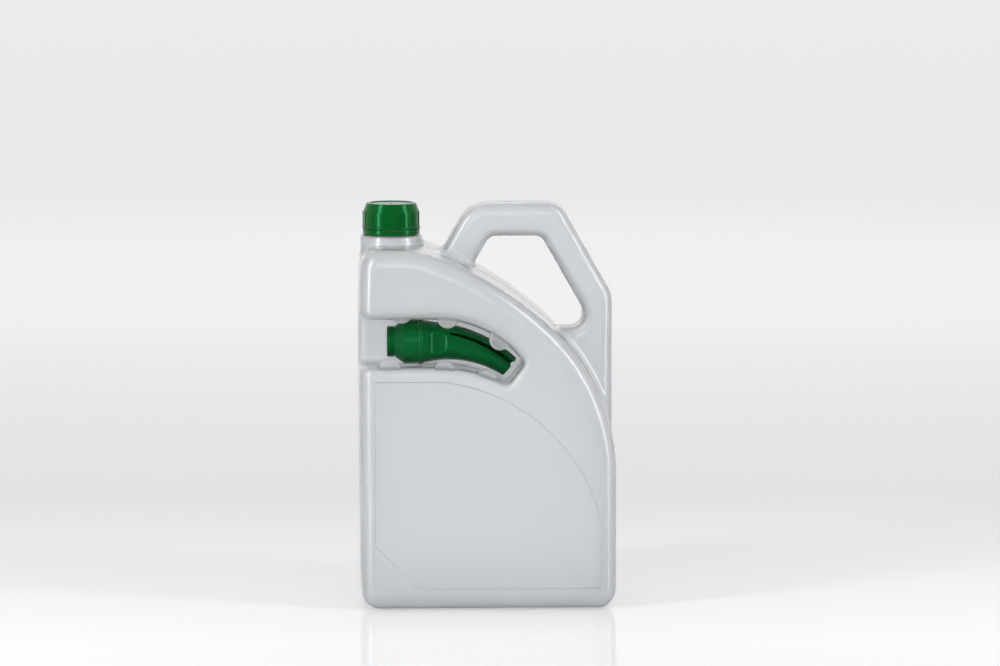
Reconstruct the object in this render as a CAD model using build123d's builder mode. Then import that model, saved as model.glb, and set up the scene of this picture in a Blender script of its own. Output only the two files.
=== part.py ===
"""A five litre blow-moulded jerrycan with a screw cap and a pouring spout stored in a pocket.

+Z is up, the front with the spout pocket faces -Y, and the origin is under the middle of the base.
Every piece is modelled in place, in millimetres, with the cap screwed down.
"""

import os
from math import cos, radians, sin, sqrt, tan

from build123d import *

# Can body
BODY_WIDTH = 188.4
BODY_DEPTH = 125.0
WALL = 1.2
CORNER_RADIUS = 14.0
EDGE_RADIUS = 12.5
FOOT_DRAFT = 1.4
SIDE_DRAFT = 1.8
SIDE_STRAIGHT_HEIGHT = 185.0
SHOULDER_FOOT_HEIGHT = 99.0
LOWER_SHOULDER_RADIUS = 145.0
SHOULDER_MEETING_DEG = 45.0
DECK_BEND_DEG = 17.2
DECK_LENGTH = 41.5
DECK_BLEND_RADIUS = 40.0
OVERRUN = 5.0

# Base push-up and label panels
PUSH_UP_DEPTH = 2.0
PUSH_UP_MARGIN = 20.0
PUSH_UP_RADIUS = 12.0
PANEL_DEPTH = 0.8
PANEL_SLOPE_DEG = 40.0
PANEL_SIDE_MARGIN = 11.2
PANEL_FOOT = 15.5
PANEL_TOP_DROP = 27.7
PANEL_BEND_SHARE = 0.327
PANEL_SHOULDER_DROP = 33.0
PANEL_SHOULDER_BULGE = 24.0
PANEL_CHAMFER = 32.0

# Handle
HANDLE_RISE = 30.3
HANDLE_DEPTH = 32.0
HANDLE_EDGE_RADIUS = 8.5
HANDLE_SIDE_STEP = 1.2
HANDLE_ROOT_DROP = 15.0
HANDLE_BAR = 24.6
LEFT_FLANK = 25.4
RIGHT_FLANK = 24.0
RIGHT_LEG = 21.7
FLANK_DEG = 60.2
BAR_START_SHARE = 0.4337
BAR_END_SHARE = 0.7872
BAR_LEFT_RADIUS = 26.0
BAR_RIGHT_RADIUS = 15.0
ELBOW_RADIUS = 20.0
HOLE_CORNER_RADIUS = 9.0
HOLE_FOOT_DROP = 13.8
ROOT_RADIUS = 7.0

# Neck
NECK_SIDE_DISTANCE = 24.5
NECK_HEIGHT = 26.5
NECK_RADIUS = 17.9
NECK_BORE_RADIUS = 16.0
NECK_RIM_ROUND = 0.5
COLLAR_HEIGHT = 6.3
COLLAR_TOP_RADIUS = 22.0
COLLAR_FOOT_RADIUS = 24.0
COLLAR_RIM_ROUND = 0.8
COLLAR_SIDE_GAP = 0.1
LOCK_BEAD_DEPTH = 1.3
LOCK_BEAD_WIDTH = 1.6
LOCK_BEAD_RISE = 2.0

# Screw cap, its liner and the tamper band
CAP_RADIUS = 20.6
CAP_TOP_RADIUS = 18.3
CAP_CONE_HEIGHT = 6.2
CAP_TOP_ROUND = 0.8
CAP_TOP_RECESS = 0.5
CAP_TOP_RIM = 2.8
CAP_WALL = 1.2
CAP_CROWN = 1.6
CAP_BEAD_DEPTH = 1.0
CAP_BEAD_WIDTH = 1.8
GRIP_RIBS = 15
GRIP_RIB_WIDTH = 1.1
GRIP_RIB_PHASE_DEG = 4.0
LINER_THICKNESS = 1.5
LINER_GAP = 0.15
LINER_SIDE_GAP = 0.4
BAND_GAP = 0.4
BAND_HEIGHT = 4.2
BAND_RADIUS = 21.1
BAND_ROUND = 1.4
BAND_HOOK_HEIGHT = 1.0
BAND_CLEARANCE = 0.3

# Stored spout
SPOUT_FRONT_DISTANCE = 20.0
SPOUT_SIDE_DISTANCE = 20.6
SPOUT_DROP = 68.3
SPOUT_WALL = 1.5
TUBE_RADIUS = 11.1
TUBE_LENGTH = 5.6
TUBE_RINGS = 3
TUBE_RING_PITCH = 1.35
TUBE_RING_ROUND = 0.45
BULB_RADIUS = 16.3
BULB_START = 12.3
BULB_STEP = 0.5
RING_PLACE = 24.4
RING_WIDTH = 3.6
RING_HEIGHT = 0.8
STRAIGHT_LENGTH = 36.0
NOZZLE_RADIUS = 14.0
TIP_RADIUS = 8.1
BEND_RADIUS = 85.0
BEND_DEG = 39.0
NOZZLE_SECTIONS = 5
SLOT_START_SHARE = 0.15
SLOT_TOP_SHARE = 0.61
SLOT_FOOT_SHARES = (0.51, 0.22)
SLOT_CUT_DEPTH = 5.0
LEDGE_FOOT_SHARE = 0.08
LEDGE_START_DEPTH = 0.5
LEDGE_END_DEPTH = 1.1
DENT_RADIUS = 10.0
DENT_PLACE = 38.0
DENT_DEPTH = 3.2

# Pocket for the spout
POCKET_SEAT_CLEARANCE = 0.3
POCKET_SIDE_CLEARANCE = 1.6
POCKET_END_CLEARANCE = 6.0
POCKET_END_ROUND = 5.0
POCKET_FLOOR_ROUND = 5.0
POCKET_MOUTH_ROUND = 6.0

# Snap lugs over the spout: place along its axis and reach from it, as shares of its length and ring
LUG_RADIUS = 8.0
LUG_SET_BACK = 1.2
LUG_THICKNESS = 4.5
LUG_ROUND = 2.2
UPPER_LUG_SHARES = ((0.114, 0.87), (0.453, 0.67), (0.821, 0.37))
LOWER_LUG_SHARES = ((0.016, 0.61), (0.460, 0.71), (0.883, 0.49))

half_width = BODY_WIDTH / 2
half_depth = BODY_DEPTH / 2
meeting_z = SHOULDER_FOOT_HEIGHT + LOWER_SHOULDER_RADIUS * sin(radians(SHOULDER_MEETING_DEG))
meeting_x = half_width - LOWER_SHOULDER_RADIUS * (1 - cos(radians(SHOULDER_MEETING_DEG)))
deck_end_x = DECK_LENGTH - half_width
deck_height = meeting_z + (meeting_x - deck_end_x) * tan(radians((SHOULDER_MEETING_DEG + DECK_BEND_DEG) / 2))
handle_top = deck_height + HANDLE_RISE
neck_top = deck_height + NECK_HEIGHT
neck_x = NECK_SIDE_DISTANCE - half_width
spout_start_x = SPOUT_SIDE_DISTANCE - half_width
spout_y = SPOUT_FRONT_DISTANCE - half_depth
spout_z = deck_height - SPOUT_DROP
collar_top = deck_height + COLLAR_HEIGHT
band_bottom = collar_top + BAND_CLEARANCE
cap_bottom = band_bottom + BAND_HEIGHT + BAND_GAP
liner_bottom = neck_top + LINER_GAP
cap_ceiling = liner_bottom + LINER_THICKNESS + LINER_GAP
cap_top = cap_ceiling + CAP_CROWN
cap_bore = CAP_RADIUS - CAP_WALL
cap_cone_foot = cap_top - CAP_CONE_HEIGHT
ceiling_share = (cap_ceiling - cap_cone_foot) / CAP_CONE_HEIGHT
ceiling_radius = cap_bore - ceiling_share * (CAP_RADIUS - CAP_TOP_RADIUS)
ring_radius = BULB_RADIUS + RING_HEIGHT
bend_start_x = spout_start_x + STRAIGHT_LENGTH
spout_length = STRAIGHT_LENGTH + BEND_RADIUS * radians(BEND_DEG)
neck_plane = Plane(origin=(neck_x, 0, 0), x_dir=(1, 0, 0), z_dir=(0, -1, 0))
neck_axis = Axis((neck_x, 0, 0), (0, 0, 1))
spout_plane = Plane(origin=(spout_start_x, spout_y, spout_z), x_dir=(1, 0, 0), z_dir=(0, -1, 0))
spout_axis = Axis((spout_start_x, spout_y, spout_z), (1, 0, 0))


def body_block(inset):
    """The body without handle or neck, a tall box whose right shoulder is one long arch."""
    with BuildPart() as block:
        with BuildSketch(Plane.XZ.offset(half_depth - inset)):
            with BuildLine():
                side = Line((FOOT_DRAFT - half_width, 0), (-half_width, SIDE_STRAIGHT_HEIGHT))
                draft_end = (SIDE_DRAFT - half_width, deck_height)
                TangentArc(side @ 1, draft_end, tangent=side % 1)
                deck = Line(draft_end, (deck_end_x, deck_height))
                foot = (half_width, SHOULDER_FOOT_HEIGHT)
                lower = TangentArc(foot, (meeting_x, meeting_z), tangent=(0, 1))
                TangentArc(lower @ 1, deck @ 1, tangent=lower % 1)
                Polyline(foot, (half_width, 0), side @ 0)
            make_face()
            offset(amount=-inset)
        extrude(amount=2 * inset - BODY_DEPTH)
        across = block.edges().filter_by(Axis.Y)
        low_pair = across.group_by(Axis.Z)[0]
        top_left = across.group_by(Axis.Z)[-1].sort_by(Axis.X)[0]
        deck_bend = across.group_by(Axis.Z)[-1].sort_by(Axis.X)[-1]
        fillet(low_pair + [top_left], CORNER_RADIUS - inset)
        fillet(deck_bend, DECK_BLEND_RADIUS)
        rims = block.edges().group_by(Axis.Y)
        fillet(rims[0] + rims[-1], EDGE_RADIUS - inset)
    return block.part


def handle_plate(inset):
    """The handle's bent bar and legs, which run down into the shoulder."""
    rise = tan(radians(FLANK_DEG))
    slant = sin(radians(FLANK_DEG))
    leg_x = half_width - HANDLE_SIDE_STEP
    leg_foot = SHOULDER_FOOT_HEIGHT + CORNER_RADIUS
    bar_left_x = BAR_START_SHARE * BODY_WIDTH - half_width
    bar_right_x = BAR_END_SHARE * BODY_WIDTH - half_width
    elbow = handle_top - (leg_x - bar_right_x) * rise

    hole_top = handle_top - HANDLE_BAR
    hole_left_x = bar_left_x - HANDLE_BAR / rise + LEFT_FLANK / slant
    hole_right_x = bar_right_x + HANDLE_BAR / rise - RIGHT_FLANK / slant
    inner_leg_x = leg_x - RIGHT_LEG
    inner_elbow = hole_top - (inner_leg_x - hole_right_x) * rise
    hole_foot = inner_elbow - HOLE_FOOT_DROP
    hole_foot_x = hole_left_x - (hole_top - hole_foot) / rise
    root = hole_foot - HANDLE_ROOT_DROP
    root_x = bar_left_x - (handle_top - root) / rise

    with BuildPart() as plate:
        with BuildSketch(Plane.XZ.offset(HANDLE_DEPTH / 2 - inset)):
            with BuildLine():
                outer = FilletPolyline(
                    (root_x, root),
                    (bar_left_x, handle_top),
                    (bar_right_x, handle_top),
                    (leg_x, elbow),
                    (leg_x, leg_foot),
                    radius=(BAR_LEFT_RADIUS, BAR_RIGHT_RADIUS, ELBOW_RADIUS),
                )
                Line(outer @ 1, outer @ 0)
            make_face()
            offset(amount=-inset)
        extrude(amount=2 * inset - HANDLE_DEPTH)
        with BuildSketch(Plane.XZ.offset(HANDLE_DEPTH / 2)):
            with BuildLine():
                FilletPolyline(
                    (hole_foot_x, hole_foot),
                    (hole_left_x, hole_top),
                    (hole_right_x, hole_top),
                    (inner_leg_x, inner_elbow),
                    (inner_leg_x, hole_foot),
                    radius=HOLE_CORNER_RADIUS,
                    close=True,
                )
            make_face()
            offset(amount=inset)
        extrude(amount=-HANDLE_DEPTH, mode=Mode.SUBTRACT)
        rims = plate.edges().group_by(Axis.Y)
        fillet(rims[0] + rims[-1], HANDLE_EDGE_RADIUS - inset)
    return plate.part


def spout_axis_point(distance):
    """Place and slope in degrees of the spout's axis, measured along it from its open end."""
    turned = max(0, distance - STRAIGHT_LENGTH) / BEND_RADIUS
    x = spout_start_x + min(distance, STRAIGHT_LENGTH) + BEND_RADIUS * sin(turned)
    z = spout_z - BEND_RADIUS * (1 - cos(turned))
    return x, z, turned


def nozzle_radius(bend_share):
    """The nozzle tapers evenly from the bulb to its tip."""
    return NOZZLE_RADIUS + (TIP_RADIUS - NOZZLE_RADIUS) * bend_share


def between(ends, way):
    """The value part of the way from the first end to the second."""
    return ends[0] + (ends[1] - ends[0]) * way


def pocket_void(inset):
    """The space of the pocket, open at the front and at the left side."""
    seat = ring_radius + POCKET_SEAT_CLEARANCE
    left_x = -half_width - OVERRUN
    top_z = spout_z + seat
    bottom_z = spout_z - seat
    tip_x, tip_z, turned = spout_axis_point(spout_length)
    end_x = tip_x + POCKET_END_CLEARANCE * cos(turned)
    end_z = tip_z - POCKET_END_CLEARANCE * sin(turned)
    reach = TIP_RADIUS + POCKET_SIDE_CLEARANCE
    upper_end = (end_x + reach * sin(turned), end_z + reach * cos(turned))
    lower_end = (end_x - reach * sin(turned), end_z - reach * cos(turned))
    floor_y = spout_y + seat
    with BuildPart() as void:
        with BuildSketch(Plane.XZ.offset(half_depth + OVERRUN)) as outline:
            with BuildLine():
                TangentArc((bend_start_x, top_z), upper_end, tangent=(1, 0))
                Line(upper_end, lower_end)
                TangentArc((bend_start_x, bottom_z), lower_end, tangent=(1, 0))
                Polyline((bend_start_x, bottom_z), (left_x, bottom_z), (left_x, top_z), (bend_start_x, top_z))
            make_face()
            fillet(outline.vertices().sort_by(Axis.X)[-2:], POCKET_END_ROUND)
            offset(amount=inset)
        extrude(amount=-(half_depth + OVERRUN + floor_y + inset))
        floor_rim = void.edges().group_by(Axis.Y)[-1].sort_by(Axis.X)[1:]
        fillet(floor_rim, POCKET_FLOOR_ROUND + inset)
    return void.part


def snap_lugs():
    """Rounded lips at the mouth of the pocket that reach over the spout's upper and lower edges."""
    with BuildPart() as lugs:
        for shares, side in ((UPPER_LUG_SHARES, 1), (LOWER_LUG_SHARES, -1)):
            for place_share, reach_share in shares:
                x, z, turned = spout_axis_point(place_share * spout_length)
                reach = side * (reach_share * ring_radius + LUG_RADIUS)
                centre = (x + reach * sin(turned), z + reach * cos(turned))
                with BuildSketch(Plane.XZ.offset(half_depth - LUG_SET_BACK)):
                    with Locations(centre):
                        Circle(LUG_RADIUS)
                extrude(amount=-LUG_THICKNESS)
        rims = lugs.edges().group_by(Axis.Y)
        fillet(rims[0] + rims[-1], LUG_ROUND)
    return lugs.part


def panel_void(inset):
    """The shallow label panel of the front, mirrored on the back."""
    side_x = half_width - PANEL_SIDE_MARGIN
    panel_top = spout_z - PANEL_TOP_DROP
    shoulder_end = (side_x, SHOULDER_FOOT_HEIGHT - PANEL_SHOULDER_DROP)
    bend = (PANEL_BEND_SHARE * BODY_WIDTH - half_width, panel_top)
    with BuildPart() as void:
        with BuildSketch(Plane.XZ.offset(half_depth - inset)):
            with BuildLine():
                SagittaArc(bend, shoulder_end, PANEL_SHOULDER_BULGE)
                Polyline(
                    shoulder_end,
                    (side_x, PANEL_FOOT),
                    (PANEL_CHAMFER - side_x, PANEL_FOOT),
                    (-side_x, PANEL_FOOT + PANEL_CHAMFER),
                    (-side_x, panel_top),
                    bend,
                )
            make_face()
        extrude(amount=-PANEL_DEPTH, taper=PANEL_SLOPE_DEG)
        mirror(about=Plane.XZ)
    return void.part


def push_up_void(inset):
    """The hollow under the base that makes the can stand on its rim."""
    width = BODY_WIDTH - 2 * PUSH_UP_MARGIN
    depth = BODY_DEPTH - 2 * PUSH_UP_MARGIN
    with BuildPart() as void:
        with BuildSketch(Plane.XY.offset(inset)):
            RectangleRounded(width, depth, PUSH_UP_RADIUS)
        extrude(amount=PUSH_UP_DEPTH, taper=PANEL_SLOPE_DEG)
    return void.part


def collar(inset):
    """The round step under the neck, cut off flush with the can's left side."""
    foot = deck_height - CORNER_RADIUS
    side_x = half_width - SIDE_DRAFT - COLLAR_SIDE_GAP
    with BuildPart() as step:
        with BuildSketch(neck_plane):
            with BuildLine():
                Polyline(
                    (0, foot),
                    (COLLAR_FOOT_RADIUS - inset, foot),
                    (COLLAR_FOOT_RADIUS - inset, deck_height - inset),
                    (COLLAR_TOP_RADIUS - inset, collar_top - inset),
                    (0, collar_top - inset),
                    close=True,
                )
            make_face()
        revolve(axis=neck_axis)
        if not inset:
            fillet(step.edges().group_by(Axis.Z)[-1], COLLAR_RIM_ROUND)
        split(bisect_by=Plane(origin=(inset - side_x, 0, 0), z_dir=(1, 0, 0)))
    return step.part


def can_form(inset):
    """The can's whole outside up to the collar, or the hollow inside it when moved in by the wall."""
    with BuildPart() as form:
        add(body_block(inset))
        add(handle_plate(inset))
        fillet(form.edges(Select.NEW), ROOT_RADIUS + inset)
        add(collar(inset))
        add(pocket_void(inset), mode=Mode.SUBTRACT)
        cut = form.edges(Select.NEW)
        side_cut = cut.filter_by_position(Axis.X, -half_width - OVERRUN, EDGE_RADIUS - half_width)
        fillet(cut.group_by(Axis.Y)[0] + side_cut, POCKET_MOUTH_ROUND)
        add(panel_void(inset), mode=Mode.SUBTRACT)
        add(push_up_void(inset), mode=Mode.SUBTRACT)
    return form.part


def neck_tube():
    """The neck above the collar, with the bead that keeps the tamper band on."""
    bead_foot = collar_top + LOCK_BEAD_RISE
    bead_radius = NECK_RADIUS + LOCK_BEAD_DEPTH
    with BuildPart() as tube:
        with BuildSketch(neck_plane):
            with BuildLine():
                Polyline(
                    (NECK_BORE_RADIUS, deck_height),
                    (NECK_RADIUS, deck_height),
                    (NECK_RADIUS, bead_foot),
                    (bead_radius, bead_foot),
                    (bead_radius, bead_foot + LOCK_BEAD_WIDTH / 2),
                    (NECK_RADIUS, bead_foot + LOCK_BEAD_WIDTH),
                    (NECK_RADIUS, neck_top),
                    (NECK_BORE_RADIUS, neck_top),
                    close=True,
                )
            make_face()
        revolve(axis=neck_axis)
        fillet(tube.edges().group_by(Axis.Z)[-1], NECK_RIM_ROUND)
    return tube.part


def spout_form(inset):
    """The spout's outside, or the bore inside it when moved in by its wall and run out at both ends."""
    start = -OVERRUN if inset else 0
    end_share = 1 + (OVERRUN / (spout_length - STRAIGHT_LENGTH) if inset else 0)
    tube = TUBE_RADIUS - inset
    bulb = BULB_RADIUS - inset
    bulb_end = RING_PLACE + RING_WIDTH / 2
    with BuildPart() as form:
        with BuildSketch(spout_plane):
            with BuildLine():
                Polyline(
                    (start, 0),
                    (start, tube),
                    (TUBE_LENGTH, tube),
                    (BULB_START, bulb),
                    (bulb_end, bulb),
                    (bulb_end, bulb - BULB_STEP),
                    (STRAIGHT_LENGTH, NOZZLE_RADIUS - inset),
                    (STRAIGHT_LENGTH, 0),
                    close=True,
                )
            make_face()
        revolve(axis=spout_axis)
        for step in range(NOZZLE_SECTIONS):
            share = end_share * step / (NOZZLE_SECTIONS - 1)
            x, z, turned = spout_axis_point(STRAIGHT_LENGTH + share * (spout_length - STRAIGHT_LENGTH))
            section = Plane(origin=(x, spout_y, z), x_dir=(0, 1, 0), z_dir=(cos(turned), 0, -sin(turned)))
            with BuildSketch(section):
                Circle(nozzle_radius(share) - inset)
        loft()
        dent_y = spout_y - NOZZLE_RADIUS + DENT_DEPTH - DENT_RADIUS
        with BuildSketch(Plane.XY.offset(spout_z - BULB_RADIUS)):
            with Locations((spout_start_x + DENT_PLACE, dent_y)):
                Circle(DENT_RADIUS + inset)
        extrude(amount=2 * BULB_RADIUS, mode=Mode.SUBTRACT)
    return form.part


def slot_void():
    """The air slot along the front of the nozzle, which widens to its tip, with the flat ledge below it."""
    past_tip = 1 + OVERRUN / (spout_length - STRAIGHT_LENGTH)
    with BuildPart() as void:
        for step in range(NOZZLE_SECTIONS):
            way = step / (NOZZLE_SECTIONS - 1)
            share = SLOT_START_SHARE + (past_tip - SLOT_START_SHARE) * way
            x, z, turned = spout_axis_point(STRAIGHT_LENGTH + share * (spout_length - STRAIGHT_LENGTH))
            radius = nozzle_radius(share)
            top = SLOT_TOP_SHARE * radius
            foot = between(SLOT_FOOT_SHARES, way) * radius
            ledge_foot = LEDGE_FOOT_SHARE * radius
            ledge_depth = between((LEDGE_START_DEPTH, LEDGE_END_DEPTH), way)
            ledge_back = ledge_depth - sqrt(radius**2 - foot**2)
            section = Plane(origin=(x, spout_y, z), x_dir=(0, 1, 0), z_dir=(cos(turned), 0, -sin(turned)))
            with BuildSketch(section):
                with BuildLine():
                    Polyline(
                        (-radius - OVERRUN, ledge_foot),
                        (-sqrt(radius**2 - ledge_foot**2), ledge_foot),
                        (ledge_back, foot),
                        (SLOT_CUT_DEPTH - radius, foot),
                        (SLOT_CUT_DEPTH - radius, top),
                        (-radius - OVERRUN, top),
                        close=True,
                    )
                make_face()
        loft()
    return void.part


with BuildPart() as can_body:
    add(can_form(0))
    add(snap_lugs())
    add(neck_tube())
    add(can_form(WALL), mode=Mode.SUBTRACT)
    with BuildSketch(Plane.XY.offset(deck_height - CORNER_RADIUS)):
        with Locations((neck_x, 0)):
            Circle(NECK_BORE_RADIUS)
    extrude(amount=neck_top - deck_height + CORNER_RADIUS, mode=Mode.SUBTRACT)

with BuildPart() as pour_spout:
    add(spout_form(0))
    with BuildSketch(spout_plane):
        for ring in range(1, TUBE_RINGS + 1):
            with Locations((ring * TUBE_RING_PITCH, TUBE_RADIUS)):
                Circle(TUBE_RING_ROUND)
    revolve(axis=spout_axis)
    with BuildSketch(spout_plane):
        with BuildLine():
            bead_end = (RING_PLACE + RING_WIDTH / 2, BULB_RADIUS - BULB_STEP)
            ThreePointArc((RING_PLACE - RING_WIDTH / 2, BULB_RADIUS), (RING_PLACE, ring_radius), bead_end)
            Polyline(bead_end, (RING_PLACE, TUBE_RADIUS), (RING_PLACE - RING_WIDTH / 2, BULB_RADIUS))
        make_face()
    revolve(axis=spout_axis)
    add(spout_form(SPOUT_WALL), mode=Mode.SUBTRACT)
    add(slot_void(), mode=Mode.SUBTRACT)

with BuildPart() as screw_cap:
    with BuildSketch(neck_plane):
        with BuildLine():
            rim_inside = CAP_TOP_RADIUS - CAP_TOP_RIM
            bead_middle = (CAP_RADIUS + CAP_BEAD_DEPTH, cap_bottom + CAP_BEAD_WIDTH / 2)
            bead = ThreePointArc((CAP_RADIUS, cap_bottom), bead_middle, (CAP_RADIUS, cap_bottom + CAP_BEAD_WIDTH))
            Polyline(
                bead @ 1,
                (CAP_RADIUS, cap_cone_foot),
                (CAP_TOP_RADIUS, cap_top),
                (rim_inside, cap_top),
                (rim_inside, cap_top - CAP_TOP_RECESS),
                (0, cap_top - CAP_TOP_RECESS),
                (0, cap_ceiling),
                (ceiling_radius, cap_ceiling),
                (cap_bore, cap_cone_foot),
                (cap_bore, cap_bottom),
                bead @ 0,
            )
        make_face()
    revolve(axis=neck_axis)
    fillet(screw_cap.edges().group_by(Axis.Z)[-1].sort_by(Edge.length)[-1], CAP_TOP_ROUND)
    with BuildSketch(Plane.XY.offset(cap_bottom + CAP_BEAD_WIDTH / 2)):
        with Locations((neck_x, 0)):
            with PolarLocations(CAP_RADIUS, GRIP_RIBS, start_angle=GRIP_RIB_PHASE_DEG - 90):
                Circle(GRIP_RIB_WIDTH / 2)
    extrude(amount=cap_cone_foot - cap_bottom - CAP_BEAD_WIDTH / 2)

with BuildPart() as cap_liner:
    with BuildSketch(Plane.XY.offset(liner_bottom)):
        with Locations((neck_x, 0)):
            Circle(ceiling_radius - LINER_SIDE_GAP)
    extrude(amount=LINER_THICKNESS)

with BuildPart() as tamper_band:
    with BuildSketch(neck_plane):
        with BuildLine():
            hook_radius = NECK_RADIUS + BAND_CLEARANCE
            bead_way = NECK_RADIUS + LOCK_BEAD_DEPTH + BAND_CLEARANCE
            hook_top = band_bottom + BAND_HOOK_HEIGHT
            Polyline(
                (hook_radius, band_bottom),
                (BAND_RADIUS, band_bottom),
                (BAND_RADIUS, band_bottom + BAND_HEIGHT),
                (bead_way, band_bottom + BAND_HEIGHT),
                (bead_way, hook_top),
                (hook_radius, hook_top),
                close=True,
            )
        make_face()
    revolve(axis=neck_axis)
    fillet(tamper_band.edges().group_by(Axis.Z)[0].sort_by(Edge.length)[-1], BAND_ROUND)

os.makedirs("parts", exist_ok=True)

can_body.part.label = "can_body"
export_step(can_body.part, "parts/can_body.step")

pour_spout.part.label = "pour_spout"
export_step(pour_spout.part, "parts/pour_spout.step")

screw_cap.part.label = "screw_cap"
export_step(screw_cap.part, "parts/screw_cap.step")

cap_liner.part.label = "cap_liner"
export_step(cap_liner.part, "parts/cap_liner.step")

tamper_band.part.label = "tamper_band"
export_step(tamper_band.part, "parts/tamper_band.step")
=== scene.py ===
"""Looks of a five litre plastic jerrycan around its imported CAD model, and the studio that lights it.

Everything is in metres in the frame of the CAD model: +Z up, the front with the spout pocket faces -Y.
"""
import math

import bmesh
import bpy
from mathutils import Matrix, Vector
from mathutils.bvhtree import BVHTree


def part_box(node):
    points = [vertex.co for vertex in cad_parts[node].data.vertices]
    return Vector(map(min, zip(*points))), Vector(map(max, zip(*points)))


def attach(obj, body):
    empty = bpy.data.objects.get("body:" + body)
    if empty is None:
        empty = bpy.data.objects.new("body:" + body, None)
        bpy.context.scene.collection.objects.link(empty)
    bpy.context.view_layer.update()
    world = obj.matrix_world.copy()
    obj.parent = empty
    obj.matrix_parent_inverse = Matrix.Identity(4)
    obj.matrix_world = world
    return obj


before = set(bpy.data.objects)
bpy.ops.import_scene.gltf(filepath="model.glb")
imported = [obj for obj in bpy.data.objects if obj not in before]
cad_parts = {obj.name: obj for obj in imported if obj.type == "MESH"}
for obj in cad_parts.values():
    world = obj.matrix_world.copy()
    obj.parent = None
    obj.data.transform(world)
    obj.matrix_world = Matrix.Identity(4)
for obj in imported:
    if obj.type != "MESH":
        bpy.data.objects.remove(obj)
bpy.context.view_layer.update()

MM = 0.001

# Camera, at the photograph's viewing angle
CAMERA_AZIMUTH_DEG = -2.0
CAMERA_ELEVATION_DEG = 6.5
CAMERA_DISTANCE = 4.045
CAMERA_TARGET = (0.0106, 0.0, 0.1972)
CAMERA_SIGHT = 100.0
LENS_MM = 196.8
SENSOR_MM = 36.0

# The two shades that each material drifts between
HDPE_SHADES = ((0.935, 0.952, 0.962), (0.95, 0.966, 0.974))
CAP_SHADES = ((0.0003, 0.064, 0.003), (0.0006, 0.078, 0.006))
SPOUT_SHADES = ((0.0003, 0.060, 0.009), (0.0006, 0.074, 0.014))
FOAM_SHADES = ((0.80, 0.80, 0.78), (0.88, 0.88, 0.86))

# Roughness, from its smoothest to its roughest where it is uneven
HDPE_ROUGHNESS = (0.40, 0.46)
HDPE_COAT_ROUGHNESS = 0.14
CAP_ROUGHNESS = (0.17, 0.23)
SPOUT_ROUGHNESS = (0.18, 0.24)
FOAM_ROUGHNESS = 0.6

# Noise patterns: waves a metre, and layers of finer waves
HDPE_CLOUDS = (28, 2)
HDPE_SMEARS = (90, 3)
HDPE_SWELLS = (55, 2)
GREEN_CLOUDS = (60, 2)
GREEN_SMEARS = (300, 3)
GREEN_GRAIN = (900, 2)
FOAM_CLOUDS = (1500, 2)
FOAM_CELLS = (2500, 2)
NOISE_LOW = 0.3
NOISE_HIGH = 0.7

# Surface relief
HDPE_SWELL_HEIGHT = 0.25 * MM
GREEN_GRAIN_HEIGHT = 0.04 * MM
FOAM_CELL_HEIGHT = 0.1 * MM
PLASTIC_RELIEF_SHARE = 0.1
FOAM_RELIEF_SHARE = 0.4

# How the plastics take light
PLASTIC_IOR = 1.5
HDPE_PASSED_SHARE = 0.9
HDPE_SCATTERED_SHARE = 0.25
HDPE_SCATTER_REACH = 2.0 * MM
GREEN_SPECULAR_LEVEL = 0.45
GREEN_SPECULAR_TINT = (0.12, 1.0, 0.45, 1)

# How deep threads and teeth are sunk in what carries them
ROOT_SINK = 0.1 * MM

# Screw thread on the neck and inside the cap
THREAD_PITCH = 5.0 * MM
THREAD_TURNS = 1.9
THREAD_STEPS_A_TURN = 64
THREAD_TAPER_DEG = 50.0
THREAD_END_SHARE = 0.02
THREAD_ROOT_WIDTH = 2.0 * MM
THREAD_CREST_WIDTH = 0.9 * MM
NECK_RADIUS = 17.9 * MM
NECK_CREST_RADIUS = 19.0 * MM
CAP_BORE_RADIUS = 19.4 * MM
CAP_CREST_RADIUS = 18.3 * MM
NECK_THREAD_START_Z = 277.6 * MM

# Tamper band's ratchet teeth
TOOTH_COUNT = 120
TOOTH_HEIGHT = 0.3 * MM
TOOTH_DEPTH = 0.7 * MM
TOOTH_FILL_SHARE = 0.55
BAND_RADIUS = 21.1 * MM

# Gate mark on the cap's top, which lies a little under its rim
GATE_MARK_SIDES = 32
GATE_MARK_RADIUS = 1.2 * MM
GATE_MARK_TIP_SHARE = 0.8
GATE_MARK_HEIGHT = 0.25 * MM
CAP_TOP_SINK = 0.5 * MM

# Parting line of the can
SEAM_RADIUS = 0.18 * MM
SEAM_WELD = SEAM_RADIUS / 20
SEAM_PROBE = 0.4 * MM
SEAM_LOWEST = 1.5 * MM

# Studio floor, and the white it adds for the eye at distances behind the can's middle
FLOOR_REACH = 30.0
FLOOR_COLOUR = (0.90, 0.90, 0.91)
FLOOR_ROUGHNESS = 0.09
FLOOR_IOR = 1.45
FLOOR_GLOW = (
    (-0.8, 0.0),
    (-0.2, 0.12),
    (0.5, 0.0),
    (1.9, 0.13),
    (7.0, 0.09),
)

# Room, and softboxes: azimuth and elevation in degrees, distance, width, height, power in watts
WORLD_LIGHT = (0.55, 0.55, 0.56)
BACKDROP = (0.83, 0.83, 0.84)
LAMP_AIM_HEIGHT = 0.2
SOFTBOXES = {
    "left_softbox": (-56, 20, 1.5, 0.24, 1.5, 11),
    "right_softbox": (64, 20, 1.5, 0.24, 1.5, 9),
    "front_softbox": (-4, 14, 3.2, 1.6, 1.2, 8),
    "back_softbox": (176, 25, 3.0, 2.4, 1.6, 7),
}

cap_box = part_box("screw_cap")
neck_x = (cap_box[0].x + cap_box[1].x) / 2
cap_top = cap_box[1].z
band_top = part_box("tamper_band")[1].z


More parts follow.
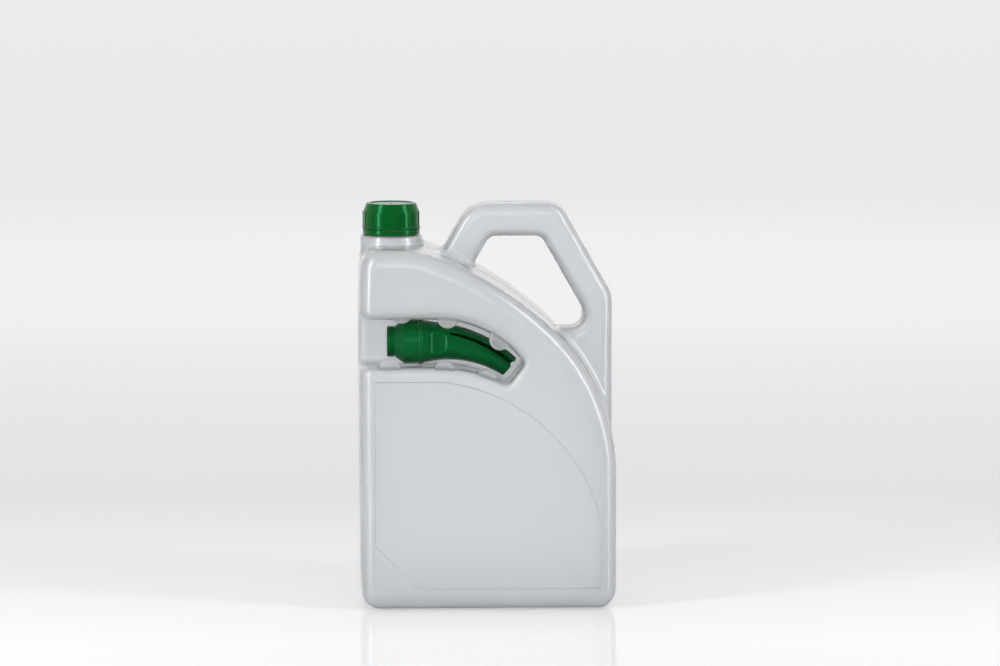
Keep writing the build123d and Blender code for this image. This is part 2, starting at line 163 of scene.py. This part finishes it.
def new_material(name):
    """An empty node material and its Principled shader, wired to the output."""
    material = bpy.data.materials.new(name)
    material.use_nodes = True
    tree = material.node_tree
    tree.nodes.clear()
    output = tree.nodes.new("ShaderNodeOutputMaterial")
    shader = tree.nodes.new("ShaderNodeBsdfPrincipled")
    tree.links.new(shader.outputs["BSDF"], output.inputs["Surface"])
    return material, tree, shader


def noise(tree, waves, layers):
    """A noise pattern in the object's own space."""
    place = tree.nodes.new("ShaderNodeTexCoord")
    texture = tree.nodes.new("ShaderNodeTexNoise")
    texture.inputs["Scale"].default_value = waves
    texture.inputs["Detail"].default_value = layers
    tree.links.new(place.outputs["Object"], texture.inputs["Vector"])
    return texture.outputs["Fac"]


def drift_colour(tree, shader, pattern, shades):
    """A colour that drifts between two shades with the pattern."""
    ramp = tree.nodes.new("ShaderNodeValToRGB")
    for stop, position, shade in zip(ramp.color_ramp.elements, (NOISE_LOW, NOISE_HIGH), shades):
        stop.position = position
        stop.color = (*shade, 1)
    tree.links.new(noise(tree, *pattern), ramp.inputs["Fac"])
    tree.links.new(ramp.outputs["Color"], shader.inputs["Base Color"])


def smear_roughness(tree, shader, pattern, roughness):
    """A roughness that wanders between its two values with the pattern."""
    spread = tree.nodes.new("ShaderNodeMapRange")
    spread.inputs["From Min"].default_value = NOISE_LOW
    spread.inputs["From Max"].default_value = NOISE_HIGH
    spread.inputs["To Min"].default_value = roughness[0]
    spread.inputs["To Max"].default_value = roughness[1]
    tree.links.new(noise(tree, *pattern), spread.inputs["Value"])
    tree.links.new(spread.outputs["Result"], shader.inputs["Roughness"])


def relief(tree, shader, pattern, height, share):
    """A fine surface relief that follows the pattern."""
    bump = tree.nodes.new("ShaderNodeBump")
    bump.inputs["Distance"].default_value = height
    bump.inputs["Strength"].default_value = share
    tree.links.new(noise(tree, *pattern), bump.inputs["Height"])
    tree.links.new(bump.outputs["Normal"], shader.inputs["Normal"])


def natural_polyethylene():
    """Milky blow-moulded wall: some light scatters in it and passes it, and its skin is softly uneven."""
    material, tree, shader = new_material("can_hdpe")
    drift_colour(tree, shader, HDPE_CLOUDS, HDPE_SHADES)
    smear_roughness(tree, shader, HDPE_SMEARS, HDPE_ROUGHNESS)
    relief(tree, shader, HDPE_SWELLS, HDPE_SWELL_HEIGHT, PLASTIC_RELIEF_SHARE)
    shader.inputs["IOR"].default_value = PLASTIC_IOR
    shader.inputs["Subsurface Weight"].default_value = HDPE_SCATTERED_SHARE
    shader.inputs["Subsurface Radius"].default_value = (1, 1, 1)
    shader.inputs["Subsurface Scale"].default_value = HDPE_SCATTER_REACH
    shader.inputs["Transmission Weight"].default_value = HDPE_PASSED_SHARE
    shader.inputs["Coat Weight"].default_value = 1
    shader.inputs["Coat Roughness"].default_value = HDPE_COAT_ROUGHNESS
    return material


def green_plastic(name, shades, roughness):
    """Injection-moulded coloured plastic with a satin skin."""
    material, tree, shader = new_material(name)
    drift_colour(tree, shader, GREEN_CLOUDS, shades)
    smear_roughness(tree, shader, GREEN_SMEARS, roughness)
    relief(tree, shader, GREEN_GRAIN, GREEN_GRAIN_HEIGHT, PLASTIC_RELIEF_SHARE)
    shader.inputs["IOR"].default_value = PLASTIC_IOR
    shader.inputs["Specular IOR Level"].default_value = GREEN_SPECULAR_LEVEL
    shader.inputs["Specular Tint"].default_value = GREEN_SPECULAR_TINT
    return material


def foam():
    """The expanded sheet that the liner is cut from."""
    material, tree, shader = new_material("liner_foam")
    drift_colour(tree, shader, FOAM_CLOUDS, FOAM_SHADES)
    relief(tree, shader, FOAM_CELLS, FOAM_CELL_HEIGHT, FOAM_RELIEF_SHARE)
    shader.inputs["Roughness"].default_value = FOAM_ROUGHNESS
    return material


def dress_nodes():
    """Gives each CAD node its material."""
    for node, material in (
        ("can_body", hdpe),
        ("tamper_band", cap_green),
        ("pour_spout", spout_green),
        ("cap_liner", liner_foam),
        ("screw_cap", cap_green),
    ):
        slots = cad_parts[node].data.materials
        slots.clear()
        slots.append(material)


def new_piece(name, mesh, material, body):
    """Puts a finished mesh in the scene as a piece that rides on a body."""
    data = bpy.data.meshes.new(name)
    mesh.to_mesh(data)
    mesh.free()
    data.materials.append(material)
    piece = bpy.data.objects.new(name, data)
    bpy.context.scene.collection.objects.link(piece)
    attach(piece, body)


def around_neck(radius, angle, height):
    """A point at a radius and angle round the neck's axis."""
    return neck_x + radius * math.cos(angle), radius * math.sin(angle), height


def thread(name, root_radius, crest_radius, start_z, material, body):
    """A right-hand thread ridge that runs out to nothing at both ends."""
    sink = ROOT_SINK if crest_radius < root_radius else -ROOT_SINK
    steps = round(THREAD_STEPS_A_TURN * THREAD_TURNS)
    taper = THREAD_TAPER_DEG / 360 / THREAD_TURNS
    mesh = bmesh.new()
    rings = []
    for step in range(steps + 1):
        share = step / steps
        angle = math.tau * THREAD_TURNS * share
        fade = min(1, share / taper, (1 - share) / taper)
        grow = math.sqrt(max(fade, THREAD_END_SHARE))
        crest = root_radius + (crest_radius - root_radius) * grow
        middle = start_z + THREAD_PITCH * THREAD_TURNS * share
        ring = []
        for radius, half_width in (
            (root_radius + sink, THREAD_ROOT_WIDTH / 2),
            (crest, THREAD_CREST_WIDTH / 2),
            (crest, -THREAD_CREST_WIDTH / 2),
            (root_radius + sink, -THREAD_ROOT_WIDTH / 2),
        ):
            ring.append(mesh.verts.new(around_neck(radius, angle, middle + half_width * grow)))
        rings.append(ring)
    for ring, following in zip(rings, rings[1:]):
        for corner in range(len(ring)):
            beside = (corner + 1) % len(ring)
            mesh.faces.new((ring[corner], ring[beside], following[beside], following[corner]))
    mesh.faces.new(rings[0])
    mesh.faces.new(rings[-1])
    bmesh.ops.recalc_face_normals(mesh, faces=mesh.faces)
    new_piece(name, mesh, material, body)


def ratchet_teeth():
    """The fine teeth on the band's top edge, torn free of the cap at its first turn."""
    mesh = bmesh.new()
    outer = BAND_RADIUS - ROOT_SINK
    inner = outer - TOOTH_DEPTH
    turn = math.tau / TOOTH_COUNT
    foot = band_top - ROOT_SINK
    for tooth in range(TOOTH_COUNT):
        corners = []
        for angle, height in (
            (tooth * turn, foot),
            ((tooth + TOOTH_FILL_SHARE) * turn, foot),
            (tooth * turn, band_top + TOOTH_HEIGHT),
        ):
            for radius in (inner, outer):
                corners.append(mesh.verts.new(around_neck(radius, angle, height)))
        start_in, start_out, end_in, end_out, tip_in, tip_out = corners
        for face in (
            (start_in, end_in, tip_in),
            (start_out, tip_out, end_out),
            (start_in, start_out, end_out, end_in),
            (end_in, end_out, tip_out, tip_in),
            (tip_in, tip_out, start_out, start_in),
        ):
            mesh.faces.new(face)
    bmesh.ops.recalc_face_normals(mesh, faces=mesh.faces)
    new_piece("band_teeth", mesh, cap_green, "can")


def gate_mark():
    """The small stub that the mould's inlet leaves in the middle of the cap's top, half of it sunk in."""
    mesh = bmesh.new()
    bmesh.ops.create_cone(
        mesh,
        cap_ends=True,
        segments=GATE_MARK_SIDES,
        radius1=GATE_MARK_RADIUS,
        radius2=GATE_MARK_RADIUS * GATE_MARK_TIP_SHARE,
        depth=GATE_MARK_HEIGHT * 2,
    )
    bmesh.ops.translate(mesh, verts=mesh.verts, vec=(neck_x, 0, cap_top - CAP_TOP_SINK))
    new_piece("gate_mark", mesh, cap_green, "cap")


def outline_stretches():
    """The two ends of each short stretch of the can's outer outline, where its middle plane cuts it."""
    body = bmesh.new()
    body.from_mesh(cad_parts["can_body"].data)
    skin = BVHTree.FromBMesh(body)
    geometry = body.verts[:] + body.edges[:] + body.faces[:]
    cut = bmesh.ops.bisect_plane(body, geom=geometry, plane_co=(0, 0, 0), plane_no=(0, 1, 0))
    outside = []
    for edge in cut["geom_cut"]:
        if not isinstance(edge, bmesh.types.BMEdge) or not edge.link_faces:
            continue
        middle = (edge.verts[0].co + edge.verts[1].co) / 2
        normal = sum((face.normal for face in edge.link_faces), Vector())
        probe = middle + Vector((normal.x, 0, normal.z)).normalized() * SEAM_PROBE
        # Inside the can and in the hollow of its base, the can's front lies before the probe.
        covered = skin.ray_cast(probe, Vector((0, -1, 0)))[0] is not None
        if not covered and middle.z > SEAM_LOWEST:
            outside.append(tuple(tuple(vert.co) for vert in edge.verts))
    body.free()
    return outside


def parting_line():
    """The thin ridge where the mould halves met, all along the can's outline at its middle plane."""
    line = bmesh.new()
    for ends in outline_stretches():
        line.edges.new([line.verts.new(place) for place in ends])
    bmesh.ops.remove_doubles(line, verts=line.verts, dist=SEAM_WELD)
    data = bpy.data.meshes.new("parting_line")
    line.to_mesh(data)
    line.free()
    piece = bpy.data.objects.new("parting_line", data)
    bpy.context.scene.collection.objects.link(piece)
    bpy.ops.object.select_all(action="DESELECT")
    piece.select_set(True)
    bpy.context.view_layer.objects.active = piece
    bpy.ops.object.convert(target="CURVE")
    piece.data.bevel_depth = SEAM_RADIUS
    piece.data.bevel_resolution = 1
    bpy.ops.object.convert(target="MESH")
    piece.data.materials.append(hdpe)
    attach(piece, "can")


def seen_directly(tree):
    """1 for what the camera sees, also in gloss and through clear matter, and 0 for light on the object."""
    path = tree.nodes.new("ShaderNodeLightPath")
    share = path.outputs["Is Camera Ray"]
    for kind in ("Is Glossy Ray", "Is Transmission Ray"):
        either = tree.nodes.new("ShaderNodeMath")
        either.operation = "MAXIMUM"
        tree.links.new(share, either.inputs[0])
        tree.links.new(path.outputs[kind], either.inputs[1])
        share = either.outputs["Value"]
    return share


def white_sweep():
    """Glossy white, evened out for the eye from front to back as in a lit studio."""
    material, tree, shader = new_material("floor_white")
    place = tree.nodes.new("ShaderNodeTexCoord")
    split = tree.nodes.new("ShaderNodeSeparateXYZ")
    way = tree.nodes.new("ShaderNodeMapRange")
    nearest = FLOOR_GLOW[0][0]
    farthest = FLOOR_GLOW[-1][0]
    way.inputs["From Min"].default_value = nearest
    way.inputs["From Max"].default_value = farthest
    ramp = tree.nodes.new("ShaderNodeValToRGB")
    stops = ramp.color_ramp.elements
    while len(stops) < len(FLOOR_GLOW):
        stops.new(1)
    for stop, (y, glow) in zip(stops, FLOOR_GLOW):
        stop.position = (y - nearest) / (farthest - nearest)
        stop.color = (glow, glow, glow, 1)
    tree.links.new(place.outputs["Object"], split.inputs["Vector"])
    tree.links.new(split.outputs["Y"], way.inputs["Value"])
    tree.links.new(way.outputs["Result"], ramp.inputs["Fac"])
    tree.links.new(ramp.outputs["Color"], shader.inputs["Emission Color"])
    tree.links.new(seen_directly(tree), shader.inputs["Emission Strength"])
    shader.inputs["Base Color"].default_value = (*FLOOR_COLOUR, 1)
    shader.inputs["Roughness"].default_value = FLOOR_ROUGHNESS
    shader.inputs["IOR"].default_value = FLOOR_IOR
    return material


def studio_floor():
    """The flat floor that the can stands on, far out to the horizon."""
    mesh = bmesh.new()
    bmesh.ops.create_grid(mesh, x_segments=1, y_segments=1, size=FLOOR_REACH)
    data = bpy.data.meshes.new("floor")
    mesh.to_mesh(data)
    mesh.free()
    data.materials.append(white_sweep())
    floor = bpy.data.objects.new("floor", data)
    bpy.context.scene.collection.objects.link(floor)


def studio_world():
    """An even white room, brighter to the eye than the light it gives."""
    world = bpy.data.worlds.new("studio")
    bpy.context.scene.world = world
    world.use_nodes = True
    tree = world.node_tree
    mix = tree.nodes.new("ShaderNodeMix")
    mix.data_type = "RGBA"
    mix.inputs["A"].default_value = (*WORLD_LIGHT, 1)
    mix.inputs["B"].default_value = (*BACKDROP, 1)
    tree.links.new(seen_directly(tree), mix.inputs["Factor"])
    tree.links.new(mix.outputs["Result"], tree.nodes["Background"].inputs["Color"])


def direction_to(azimuth, elevation):
    """The way from the can to a place round it, in degrees: azimuth 0 is in front, positive to the right."""
    turn = math.radians(azimuth)
    rise = math.radians(elevation)
    return Vector((math.sin(turn) * math.cos(rise), -math.cos(turn) * math.cos(rise), math.sin(rise)))


def softbox(name, azimuth, elevation, distance, width, height, power):
    """A rectangular lamp that faces the can."""
    lamp = bpy.data.lights.new(name, "AREA")
    lamp.shape = "RECTANGLE"
    lamp.size = width
    lamp.size_y = height
    lamp.energy = power
    holder = bpy.data.objects.new(name, lamp)
    direction = direction_to(azimuth, elevation)
    holder.location = Vector((0, 0, LAMP_AIM_HEIGHT)) + direction * distance
    holder.rotation_euler = (-direction).to_track_quat("-Z", "Y").to_euler()
    holder.visible_camera = False
    bpy.context.scene.collection.objects.link(holder)


def camera():
    """A long lens a little above the can, which looks slightly down on it."""
    data = bpy.data.cameras.new("camera")
    data.lens = LENS_MM
    data.sensor_width = SENSOR_MM
    data.clip_end = CAMERA_SIGHT
    holder = bpy.data.objects.new("camera", data)
    direction = direction_to(CAMERA_AZIMUTH_DEG, CAMERA_ELEVATION_DEG)
    holder.location = Vector(CAMERA_TARGET) + direction * CAMERA_DISTANCE
    holder.rotation_euler = (-direction).to_track_quat("-Z", "Y").to_euler()
    bpy.context.scene.collection.objects.link(holder)
    bpy.context.scene.camera = holder


hdpe = natural_polyethylene()
cap_green = green_plastic("cap_green", CAP_SHADES, CAP_ROUGHNESS)
spout_green = green_plastic("spout_green", SPOUT_SHADES, SPOUT_ROUGHNESS)
liner_foam = foam()
dress_nodes()

thread("neck_thread", NECK_RADIUS, NECK_CREST_RADIUS, NECK_THREAD_START_Z, hdpe, "can")
cap_thread_start_z = NECK_THREAD_START_Z + THREAD_PITCH / 2
thread("cap_thread", CAP_BORE_RADIUS, CAP_CREST_RADIUS, cap_thread_start_z, cap_green, "cap")
ratchet_teeth()
gate_mark()
parting_line()

studio_floor()
for name, values in SOFTBOXES.items():
    softbox(name, *values)
studio_world()
camera()
bpy.context.scene.view_settings.view_transform = "Standard"
